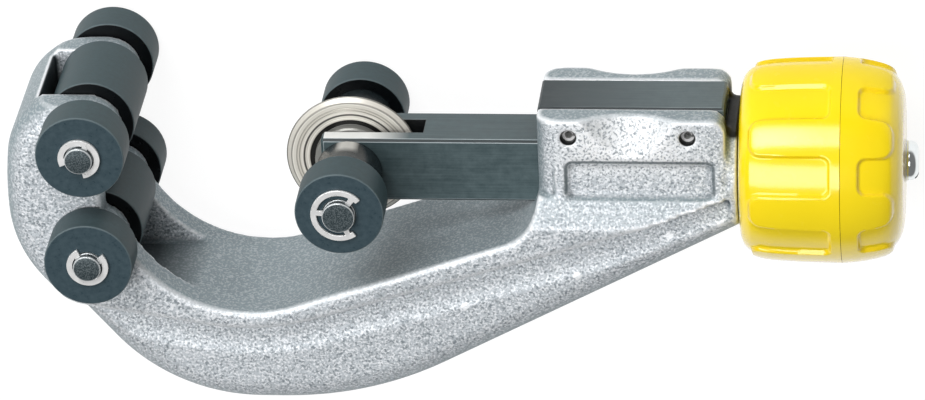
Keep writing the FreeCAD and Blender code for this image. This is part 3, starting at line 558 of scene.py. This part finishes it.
def make_plain_steel():
    """Turned steel of the axles and screw, with speckled ends and a bright chamfer."""
    material, tree, shader, place = start_material("plain_steel", Metallic=0.45, Specular_IOR_Level=0.6)
    rims = place_group(tree, "turned rims", Normal=surface_normal(tree))
    speckle = between(tree, noise(tree, place, 3600, 2.0), 0.42, 0.66)
    colour = paint(
        tree, blend_colours(tree, speckle, *AXLE_END),
        (product(tree, rims["Rims"], 0.8), AXLE_RIM))
    feed(tree, colour, shader.inputs["Base Color"])
    feed(tree, between(tree, speckle, 0.0, 1.0, 0.3, 0.42), shader.inputs["Roughness"])
    add_bump(tree, shader, speckle, 0.3, 0.05)
    return material


def make_plating(name, colours, smoothest, roughest, **sockets):
    """Bright plating with faint smears."""
    material, tree, shader, place = start_material(name, **sockets)
    smear = noise(tree, place, 500)
    feed(tree, blend_colours(tree, smear, *colours), shader.inputs["Base Color"])
    feed(tree, between(tree, smear, 0.3, 0.7, smoothest, roughest), shader.inputs["Roughness"])
    return material


def make_yellow_plastic():
    """Glossy yellow moulding with painted shade along the walls of its recesses, and duller on top."""
    material, tree, shader, place = start_material(
        "yellow_plastic", Metallic=0.0, Specular_IOR_Level=0.1, Coat_IOR=1.62, Coat_Roughness=0.17)
    upward = split_vector(tree, surface_normal(tree))["Y"]
    feed(tree, between(tree, upward, 0.6, 0.85, 1.0, 0.25), shader.inputs["Coat Weight"])
    recess = add_node(tree, "ShaderNodeAttribute", attribute_name="recess").outputs["Fac"]
    # Painted shade along the walls of the recesses.
    wall_shade = product(tree, recess, calculate(tree, "SUBTRACT", 1.0, recess), 0.8)
    colour = paint(tree, blend_colours(tree, noise(tree, place, 90, 2.0), *YELLOW), (wall_shade, YELLOW_WALL_PAINTED_SHADE))
    feed(tree, colour, shader.inputs["Base Color"])
    ripple = noise(tree, place, 320, 2.0)
    feed(tree, between(tree, ripple, 0.3, 0.7, 0.20, 0.28), shader.inputs["Roughness"])
    add_bump(tree, shader, ripple, 0.08, 0.2)
    return material


# Mesh helpers

def finish_piece(bm, name, material, body, node, sharp_angle=35, flat_faces=True):
    """Makes a mesh object of a bmesh, at the origin, hangs it on its body's empty and hides the CAD node
    that it replaces.
    """
    mesh = bpy.data.meshes.new(name)
    bm.to_mesh(mesh)
    bm.free()
    mesh.shade_smooth()
    mesh.set_sharp_from_angle(angle=math.radians(sharp_angle))
    mesh.materials.append(material)
    piece = bpy.data.objects.new(name, mesh)
    bpy.context.scene.collection.objects.link(piece)
    if flat_faces:
        weighted = piece.modifiers.new("flat faces", "WEIGHTED_NORMAL")
        weighted.keep_sharp = True
    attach(piece, body)
    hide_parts(node)


def merge(bm):
    bmesh.ops.remove_doubles(bm, verts=bm.verts, dist=0.002 * MM)


def merged(node):
    """Copy of a CAD node's mesh with its loose triangles joined up."""
    bm = bmesh.new()
    bm.from_mesh(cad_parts[node].data)
    merge(bm)
    return bm


def soften(bm, width, segments=2, angle=30):
    """Rounds every edge sharper than the angle."""
    limit = math.radians(angle)
    edges = [edge for edge in bm.edges if len(edge.link_faces) == 2 and edge.calc_face_angle(0) > limit]
    bmesh.ops.bevel(bm, geom=edges, offset=width * MM, offset_type="OFFSET", segments=segments, profile=0.5,
                    affect="EDGES", clamp_overlap=True, material=-1)


def closed_loop(bm, points):
    """Verts at the points, joined in a ring of edges."""
    verts = [bm.verts.new(point) for point in points]
    return verts + [bm.edges.new(pair) for pair in zip(verts, verts[1:] + verts[:1])]


def turned(profile, start, axis, steps=128):
    """Full spin of a closed profile. Points are (radius, along) in millimetres from the start point."""
    bm = bmesh.new()
    along, origin = Vector(axis), Vector(start)
    outward = Vector((1, 0, 0)) if axis == (0, 0, 1) else Vector((0, 0, 1))
    loop = closed_loop(bm, [(origin + outward * radius + along * place) * MM for radius, place in profile])
    bmesh.ops.spin(bm, geom=loop, cent=origin * MM, axis=along, dvec=(0, 0, 0), angle=2 * math.pi,
                   steps=steps, use_merge=True, use_normal_flip=False, use_duplicate=False)
    merge(bm)
    bmesh.ops.recalc_face_normals(bm, faces=bm.faces)
    return bm


# Pieces

def make_casting(material):
    """The frame with the soft edges of a casting."""
    voxel = 0.6
    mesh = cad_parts["frame"].data.copy()
    bm = merged("frame")
    bm.to_mesh(mesh)
    bm.free()
    shell = bpy.data.objects.new("casting_source", mesh)
    bpy.context.scene.collection.objects.link(shell)
    remesh = shell.modifiers.new("voxels", "REMESH")
    remesh.mode = "VOXEL"
    remesh.voxel_size = voxel * MM
    smooth = shell.modifiers.new("smooth", "SMOOTH")
    smooth.factor = 0.5
    smooth.iterations = 2
    evaluated = shell.evaluated_get(bpy.context.evaluated_depsgraph_get())
    bm = bmesh.new()
    bm.from_mesh(evaluated.to_mesh())
    evaluated.to_mesh_clear()
    bpy.data.objects.remove(shell)
    finish_piece(bm, "casting", material, "frame_body", "frame", 80, False)


def make_roller(node, x, y, low, high, radius, axle_radius, material):
    bore = axle_radius + RUNNING_GAP
    low, high = MIDDLE + low, MIDDLE + high
    bm = turned([(bore, low), (radius, low), (radius, high), (bore, high)], (x, y, 0), (0, 0, 1))
    soften(bm, 0.35, 3)
    finish_piece(bm, node + "_turned", material, node + "_body", node)


def make_rollers(jaw_steels, slider_steel):
    outer = {"front": (OUTER_ROLLER_NEAR, OUTER_ROLLER_FAR),
             "rear": (-OUTER_ROLLER_FAR, -OUTER_ROLLER_NEAR)}
    for jaw, y in (("upper", JAW_Y), ("lower", -JAW_Y)):
        for end, span in outer.items():
            make_roller("%s_%s_roller" % (jaw, end), JAW_X, y, *span, OUTER_ROLLER_RADIUS, JAW_AXLE_RADIUS,
                        jaw_steels[jaw])
        make_roller("%s_middle_roller" % jaw, JAW_X, y, -MIDDLE_ROLLER_FAR, MIDDLE_ROLLER_FAR,
                    MIDDLE_ROLLER_RADIUS, JAW_AXLE_RADIUS, jaw_steels[jaw])
    for end, span in outer.items():
        make_roller("slider_%s_roller" % end, 0, 0, *span, OUTER_ROLLER_RADIUS, WHEEL_AXLE_RADIUS,
                    slider_steel)


def make_axle(node, body, x, y, radius, material):
    """Plain axle with a clip groove near each end."""
    length = 2 * MIDDLE
    core = radius - CLIP_GROOVE_DEPTH
    lower = [(0, 0), (radius, 0), (radius, CLIP_GROOVE_START), (core, CLIP_GROOVE_START),
             (core, CLIP_GROOVE_END), (radius, CLIP_GROOVE_END)]
    upper = [(r, length - height) for r, height in reversed(lower)]
    bm = turned(lower + upper, (x, y, 0), (0, 0, 1), 64)
    soften(bm, 0.3, 3, 60)
    finish_piece(bm, node + "_turned", material, body, node)


def make_spacer(node, low, high, material):
    low, high = MIDDLE + low, MIDDLE + high
    profile = [(SPACER_BORE, low), (SPACER_RADIUS, low), (SPACER_RADIUS, high), (SPACER_BORE, high)]
    bm = turned(profile, (0, 0, 0), (0, 0, 1))
    soften(bm, 0.3)
    finish_piece(bm, node + "_turned", material, "slider_body", node)


def make_wheel(material):
    """Cutting wheel: boss, recess, grooved face and a bevelled rim that ends in a sharp edge."""
    upper = [(radius, MIDDLE + height) for radius, height in WHEEL_FACE]
    lower = [(radius, MIDDLE - height) for radius, height in reversed(WHEEL_FACE)]
    bm = turned(upper + [(WHEEL_RADIUS, MIDDLE)] + lower, (0, 0, 0), (0, 0, 1), 192)
    finish_piece(bm, "cutting_wheel_turned", material, "wheel_body", "cutting_wheel", 12)


def make_softened(node, finish, material, body, width, angle, sharp_angle=35):
    """Copy of a CAD piece with its flat faces joined up and its edges rounded."""
    bm = merged(node)
    bmesh.ops.dissolve_limit(bm, angle_limit=math.radians(0.5), verts=bm.verts, edges=bm.edges,
                             use_dissolve_boundaries=False)
    soften(bm, width, 2, angle)
    finish_piece(bm, "%s_%s" % (node, finish), material, body, node, sharp_angle)


def make_feed_screw(material):
    """Left-hand screw: turned core with flange and journal, helical thread and square drive."""
    bm = turned(SCREW_PROFILE, (0, 0, MIDDLE), (1, 0, 0), 64)
    thread = bmesh.new()
    loop = closed_loop(thread, [Vector((x, 0, MIDDLE + radius)) * MM for radius, x in THREAD_CORNERS])
    steps_each = 32
    bmesh.ops.spin(thread, geom=loop, cent=(0, 0, MIDDLE * MM), axis=(1, 0, 0),
                   dvec=(THREAD_LEAD * MM / steps_each, 0, 0), angle=-2 * math.pi * THREAD_TURNS,
                   steps=THREAD_TURNS * steps_each, use_merge=False, use_normal_flip=False,
                   use_duplicate=False)
    bmesh.ops.holes_fill(thread, edges=thread.edges, sides=3)
    bmesh.ops.recalc_face_normals(thread, faces=thread.faces)
    mesh = bpy.data.meshes.new("thread")
    thread.to_mesh(mesh)
    thread.free()
    bm.from_mesh(mesh)
    bpy.data.meshes.remove(mesh)
    drive = bmesh.ops.create_cube(bm, size=1.0)["verts"]
    bmesh.ops.scale(bm, vec=Vector((DRIVE_LENGTH, DRIVE_WIDTH, DRIVE_WIDTH)) * MM, verts=drive)
    bmesh.ops.translate(bm, vec=Vector((DRIVE_X, 0, MIDDLE)) * MM, verts=drive)
    finish_piece(bm, "feed_screw_cut", material, "knob_body", "feed_screw")


# Knob: spun barrels whose recesses are pressed in

def barrel_radius(shares, share):
    """Smooth radius share between the barrel's points, without overshoot."""
    slopes = [(b[1] - a[1]) / (b[0] - a[0]) for a, b in zip(shares, shares[1:])]
    tangents = [slopes[0]]
    for left, right in zip(slopes, slopes[1:]):
        tangents.append(2 * left * right / (left + right) if left * right > 0 else 0.0)
    tangents.append(slopes[-1])
    for index, (low, high) in enumerate(zip(shares, shares[1:])):
        if share <= high[0]:
            break
    width = high[0] - low[0]
    t = (share - low[0]) / width
    return ((1 + 2 * t) * (1 - t) ** 2 * low[1] + t * (1 - t) ** 2 * width * tangents[index]
            + t * t * (3 - 2 * t) * high[1] + t * t * (t - 1) * width * tangents[index + 1])


def recess_share(x, radius, angle, closed_end, finger_end, towards, half_width):
    """1 at the floor of a recess and 0 on the raised grip, with rounded outlines.

    Towards is 1 where the recess runs towards +X from the ring at the finger ends to its closed end.
    """
    step = 2 * math.pi / RECESSES
    turn = (angle - RECESS_TURN + step / 2) % step - step / 2
    past_side = abs(radius * math.sin(turn)) - half_width + RECESS_CORNER
    past_end = (x - closed_end) * towards + RECESS_CORNER
    past_outline = (math.hypot(max(past_side, 0), max(past_end, 0)) + min(max(past_side, past_end), 0)
                    - RECESS_CORNER)
    past_ring = (x - finger_end) * towards
    corner = math.hypot(max(FINGER_CORNER - past_outline, 0), max(FINGER_CORNER - past_ring, 0))
    past_joined = max(FINGER_CORNER, min(past_outline, past_ring)) - corner
    share = min(max(0.5 - past_joined / RECESS_WALL, 0), 1)
    return share * share * (3 - 2 * share)


def make_knob_half(node, barrel, start, end, before, after, recess, material):
    """One hollow half of the knob; the points before and after the barrel's close its profile."""
    rows, skin = 76, 0.02
    length = end - start
    outside = [(barrel_radius(barrel, row / rows) * KNOB_RADIUS, start + length * row / rows)
               for row in range(rows + 1)]
    bm = turned(before + outside + after, (0, 0, MIDDLE), (1, 0, 0), 512)
    layer = bm.verts.layers.float.new("recess")
    for vert in bm.verts:
        x = vert.co.x / MM
        up, side = vert.co.z / MM - MIDDLE, vert.co.y / MM
        radius = math.hypot(up, side)
        if abs(radius - barrel_radius(barrel, min(max((x - start) / length, 0), 1)) * KNOB_RADIUS) > skin:
            continue
        vert[layer] = recess_share(x, radius, math.atan2(side, up), *recess)
        shrink = (radius - RECESS_DEPTH * vert[layer]) / radius
        vert.co.y *= shrink
        vert.co.z = MIDDLE * MM + (vert.co.z - MIDDLE * MM) * shrink
    bmesh.ops.recalc_face_normals(bm, faces=bm.faces)
    finish_piece(bm, node + "_moulded", material, "knob_body", node, 50)


# Studio

def only_seen(tree):
    """1 for rays that come from the camera, or from or through a mirror-like surface."""
    path = add_node(tree, "ShaderNodeLightPath").outputs
    return greatest(tree, path["Is Camera Ray"], path["Is Glossy Ray"], path["Is Transmission Ray"])


def make_floor():
    """White floor just under the object, which shows white and keeps the object's shadow."""
    bm = bmesh.new()
    bmesh.ops.create_grid(bm, x_segments=1, y_segments=1, size=2.5)
    mesh = bpy.data.meshes.new("floor")
    bm.to_mesh(mesh)
    bm.free()
    floor = bpy.data.objects.new("floor", mesh)
    bpy.context.scene.collection.objects.link(floor)
    floor.location.z = -0.05 * MM
    material = bpy.data.materials.new("floor_white")
    material.use_nodes = True
    tree = material.node_tree
    tree.nodes.clear()
    plain = add_node(tree, "ShaderNodeBsdfDiffuse", {"Color": (0.9, 0.9, 0.9, 1)})
    white = add_node(tree, "ShaderNodeEmission", {"Color": (1, 1, 1, 1), "Strength": 1.12})
    mix = add_node(tree, "ShaderNodeMixShader")
    feed(tree, product(tree, only_seen(tree), 0.82), mix.inputs["Fac"])
    feed(tree, plain.outputs[0], mix.inputs[1])
    feed(tree, white.outputs[0], mix.inputs[2])
    feed(tree, mix.outputs[0], add_node(tree, "ShaderNodeOutputMaterial").inputs["Surface"])
    mesh.materials.append(material)


def make_world():
    """Studio room: seen white at the horizon and dim overhead; it lights the object dimly all round."""
    world = bpy.data.worlds.new("studio")
    world.use_nodes = True
    tree = world.node_tree
    tree.nodes.clear()
    rise = split_vector(tree, add_node(tree, "ShaderNodeTexCoord").outputs["Generated"])["Z"]
    seen = product(tree, only_seen(tree), between(tree, rise, 0.04, 0.3, 0.8, 0.0))
    room = add_node(tree, "ShaderNodeBackground", {"Color": (1, 1, 1, 1)})
    feed(tree, calculate(tree, "ADD", seen, 0.2), room.inputs["Strength"])
    feed(tree, room.outputs[0], add_node(tree, "ShaderNodeOutputWorld").inputs["Surface"])
    bpy.context.scene.world = world


def add_softbox(name, direction, width, height, power):
    """Rectangular lamp that looks at the middle of the tool; its sizes are metres."""
    distance = 1.5
    centre = Vector((24, -10, MIDDLE)) * MM
    away = Vector(direction).normalized()
    across = (Vector((1, 0, 0)) - away * away.x).normalized()
    axes = Matrix((across, away.cross(across), away)).transposed().to_4x4()
    data = bpy.data.lights.new(name, "AREA")
    data.shape = "RECTANGLE"
    data.size = width
    data.size_y = height
    data.energy = power
    lamp = bpy.data.objects.new(name, data)
    lamp.matrix_world = Matrix.Translation(centre + away * distance) @ axes
    bpy.context.scene.collection.objects.link(lamp)


place_camera()

plain_steel = make_plain_steel()
bright_plate = make_plating("bright_plate", BRIGHT_PLATE, 0.26, 0.36, Metallic=0.5, Specular_IOR_Level=0.7)
screw_plate = make_plating("screw_plate", SCREW_PLATE, 0.06, 0.14, Metallic=1.0)
spacer_steel = make_spacer_steel()
yellow = make_yellow_plastic()

make_casting(make_cast_aluminium())
make_rollers({"upper": make_roller_steel("upper_roller_steel", JAW_X, JAW_Y),
              "lower": make_roller_steel("lower_roller_steel", JAW_X, -JAW_Y)},
             make_roller_steel("slider_roller_steel", 0, 0))
make_axle("upper_jaw_axle", "frame_body", JAW_X, JAW_Y, JAW_AXLE_RADIUS, plain_steel)
make_axle("lower_jaw_axle", "frame_body", JAW_X, -JAW_Y, JAW_AXLE_RADIUS, plain_steel)
make_axle("wheel_axle", "slider_body", 0, 0, WHEEL_AXLE_RADIUS, plain_steel)
for clips, body in (("upper_jaw_clips", "frame_body"), ("lower_jaw_clips", "frame_body"),
                    ("wheel_axle_clips", "slider_body")):
    make_softened(clips, "plated", bright_plate, body, 0.12, 50)
make_spacer("front_spacer", SPACER_NEAR, SPACER_FAR, spacer_steel)
make_spacer("rear_spacer", -SPACER_FAR, -SPACER_NEAR, spacer_steel)
make_wheel(make_wheel_steel())
make_softened("slider", "ground", make_slider_steel(), "slider_body", 0.15, 40)
make_softened("keeper_bar", "ground", make_keeper_steel(), "frame_body", 0.2, 40)
make_feed_screw(plain_steel)
make_knob_half("knob_grip", GRIP_BARREL_SHARES, GRIP_START, GRIP_END, [(KNOB_BORE, GRIP_START)],
               GRIP_INSIDE, GRIP_RECESS, yellow)
make_knob_half("knob_cap", CAP_BARREL_SHARES, SPLIT, CAP_END, CAP_INSIDE, [(KNOB_BORE, CAP_END)],
               CAP_RECESS, yellow)
make_softened("end_screw", "plated", screw_plate, "knob_body", 0.12, 45, 40)
for node, material in (("keeper_pins", bright_plate), ("thrust_washer", plain_steel),
                       ("end_washer", bright_plate)):
    for material_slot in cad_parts[node].material_slots:
        material_slot.material = material

make_floor()
make_world()
add_softbox("key", (-0.26, 0.78, 0.57), 0.76, 0.6, 12.4)
add_softbox("front", (-0.34, 0.12, 0.93), 1.3, 0.7, 14.6)
bpy.context.scene.view_settings.view_transform = "Standard"
